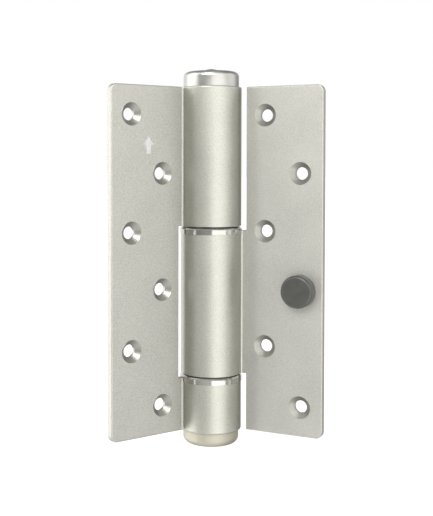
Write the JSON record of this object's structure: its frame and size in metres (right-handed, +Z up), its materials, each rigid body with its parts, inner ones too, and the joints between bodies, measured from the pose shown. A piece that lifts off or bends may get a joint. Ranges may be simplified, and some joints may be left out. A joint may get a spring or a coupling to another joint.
{
  "type": "hydraulic butt hinge",
  "caption": "Tall butt hinge with two countersunk leaves, a fat barrel holding a spring closer and an oil damper, bright thrust rings, end caps and a rubber bumper.",
  "frame": {"origin": "centre of the frame leaf's screw pattern, on its back face", "axes": "+Y out of the frame leaf's back face, +Z up along the pin axis, +X from the frame leaf towards the barrel"},
  "size_m": [0.0801, 0.057, 0.167],
  "materials": {
    "satin_nickel": "fine blasted satin nickel",
    "polished_chrome": "polished",
    "champagne_satin": "satin champagne",
    "grey_rubber": "matt moulded",
    "turned_steel": "turned",
    "hardened_steel": "ground and hardened",
    "spring_steel": "oiled blue-black",
    "bearing_bronze": "sintered bronze",
    "seal_rubber": "smooth"
  },
  "bodies": {
    "frame": {"frame_leaf": "satin_nickel", "top_cap": "polished_chrome", "bottom_cap": "champagne_satin", "lower_ring": "polished_chrome", "upper_bushing": "bearing_bronze", "spring_anchor": "turned_steel", "spring_anchor_key": "turned_steel", "spring_washer": "turned_steel", "closing_spring": "spring_steel", "damper_shaft": "turned_steel", "damper_shaft_key": "turned_steel", "damper_cross_pin": "hardened_steel"},
    "door": {"door_leaf": "satin_nickel", "bumper": "grey_rubber", "upper_ring": "polished_chrome", "spindle": "turned_steel", "spindle_key": "turned_steel", "spindle_seal": "seal_rubber", "spindle_cross_pin": "hardened_steel", "cylinder_liner": "turned_steel", "gland": "bearing_bronze", "gland_seal": "seal_rubber", "shaft_seal": "seal_rubber"},
    "oil_piston": {"damper_piston": "hardened_steel", "piston_seal": "seal_rubber", "check_ball": "hardened_steel", "valve_clip": "spring_steel"},
    "closer_piston": {"spring_piston": "hardened_steel"},
    "throttle": {"speed_screw": "turned_steel", "speed_screw_seal": "seal_rubber"}
  },
  "joints": [
    {"name": "door_swing", "type": "hinge", "parent": "frame", "child": "door", "pos_m": [0.03255, -0.0065, 0], "axis": [0, 0, 1], "range_deg": [-118, 62]},
    {"name": "oil_piston_slide", "type": "slide", "parent": "door", "child": "oil_piston", "axis": [0, 0, 1], "range_m": [-0.0059, 0.0031]},
    {"name": "closer_piston_slide", "type": "slide", "parent": "frame", "child": "closer_piston", "axis": [0, 0, 1], "range_m": [-0.0059, 0.0031], "deforming": ["closing_spring"]},
    {"name": "throttle_turn", "type": "hinge", "parent": "frame", "child": "throttle", "pos_m": [0.03255, -0.0065, 0], "axis": [0, 0, 1], "range_deg": [-180, 180]}
  ],
  "couplings": [
    {"joint": "oil_piston_slide", "follows": "door_swing", "m_per_rad": 0.0028648},
    {"joint": "closer_piston_slide", "follows": "door_swing", "m_per_rad": 0.0028648}
  ]
}
